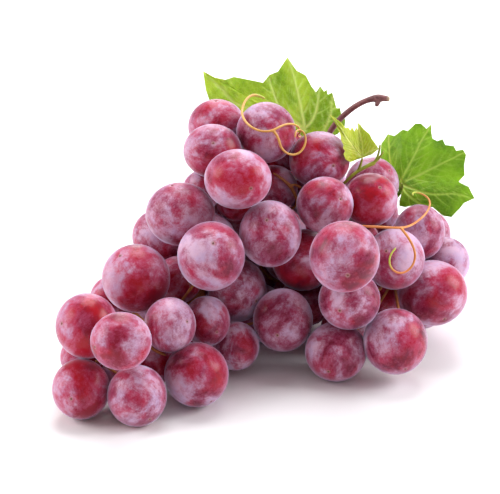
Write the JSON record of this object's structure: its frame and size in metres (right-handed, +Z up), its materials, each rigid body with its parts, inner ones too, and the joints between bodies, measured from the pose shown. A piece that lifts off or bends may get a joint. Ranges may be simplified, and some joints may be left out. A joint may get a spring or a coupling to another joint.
{
  "type": "bunch of grapes",
  "caption": "Bunch of red table grapes lying on its side, with a woody cut stalk, green leaves at the top and curled tendrils.",
  "frame": {"origin": "middle of the bunch's outline seen from above, on the ground it lies on", "axes": "+Z up; -Y towards the side shown in the picture; +X towards the leaf on the right"},
  "size_m": [0.1462, 0.1285, 0.0923],
  "materials": {
    "berry_skin": "smooth wine-red skin under an uneven pale lilac bloom",
    "green_stem": "matt brown-green stem",
    "woody_stalk": "ripened brown-red bark with a pale cut end",
    "leaf_light": "bright yellow-green blade with pale veins",
    "leaf_dark": "mid green blade with pale veins",
    "leaf_new": "young yellow-green blade, strongly veined",
    "green_shoot": "soft green shoot",
    "tendril": "golden orange tendril with a green tip"
  },
  "bodies": {
    "root": {"berries": "berry_skin", "stems": "green_stem", "stalk": "woody_stalk", "leaf_left": "leaf_light", "leaf_right": "leaf_dark", "leaf_young": "leaf_new", "shoot": "green_shoot", "tendril_left": "tendril", "tendril_right": "tendril"}
  },
  "joints": []
}
